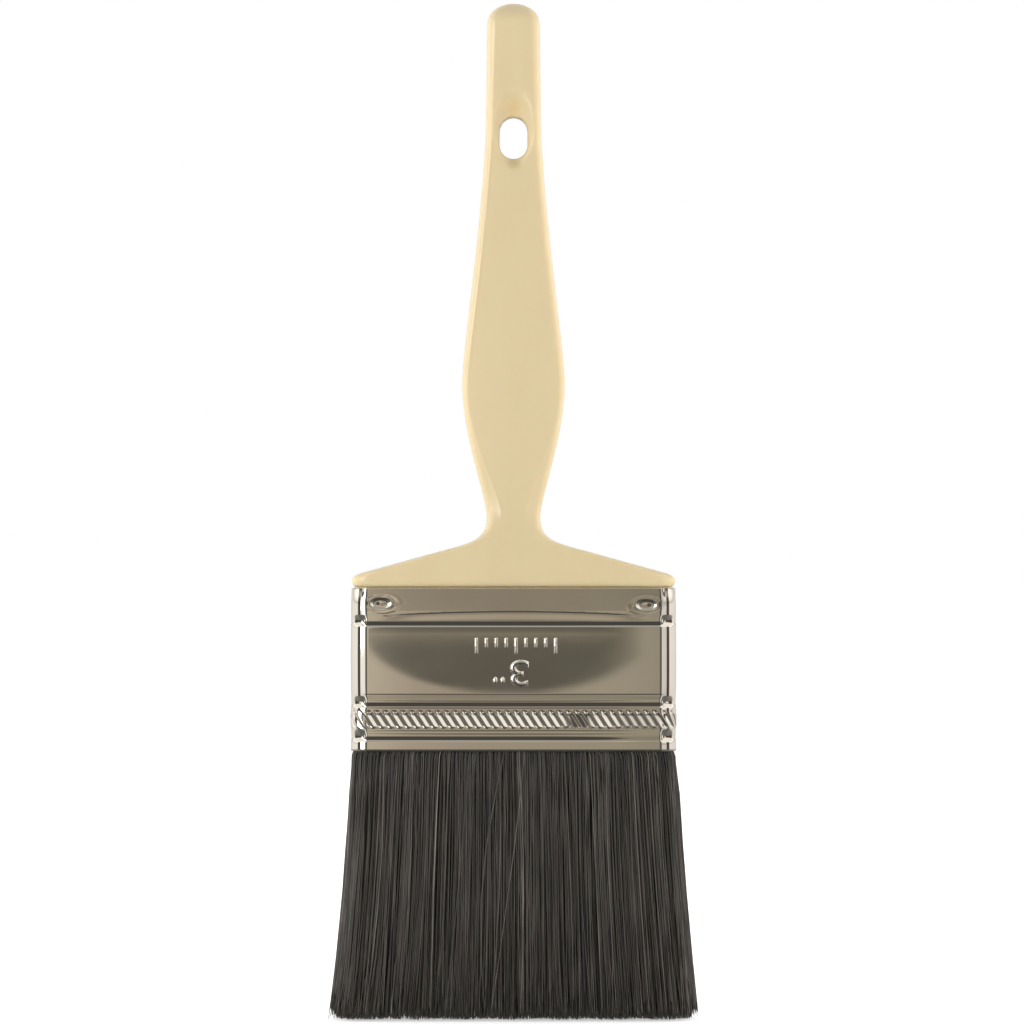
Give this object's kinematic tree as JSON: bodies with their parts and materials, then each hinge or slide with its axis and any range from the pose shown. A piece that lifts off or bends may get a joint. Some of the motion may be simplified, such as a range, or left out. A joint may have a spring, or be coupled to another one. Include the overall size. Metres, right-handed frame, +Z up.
{
  "type": "flat paint brush",
  "caption": "Flat wall brush with a moulded beavertail handle, a beaded metal ferrule with a fluted band, and dark filaments that flare to straight-cut tips.",
  "frame": {"origin": "centre of the filament tips, on the surface that the brush stands on", "axes": "+Z up the handle from the filament tips to the tail, +X across the width of the brush, +Y from the front face to the back face"},
  "size_m": [0.0862, 0.0182, 0.2375],
  "materials": {
    "handle_plastic": "satin",
    "nickel_steel": "polished",
    "setting_epoxy": "gloss",
    "spacer_wood": "matte",
    "dark_filament": "satin"
  },
  "bodies": {
    "root": {"handle": "handle_plastic", "ferrule": "nickel_steel", "epoxy_setting": "setting_epoxy", "front_spacer": "spacer_wood", "back_spacer": "spacer_wood", "front_filaments": "dark_filament", "middle_filaments": "dark_filament", "back_filaments": "dark_filament"}
  },
  "joints": []
}
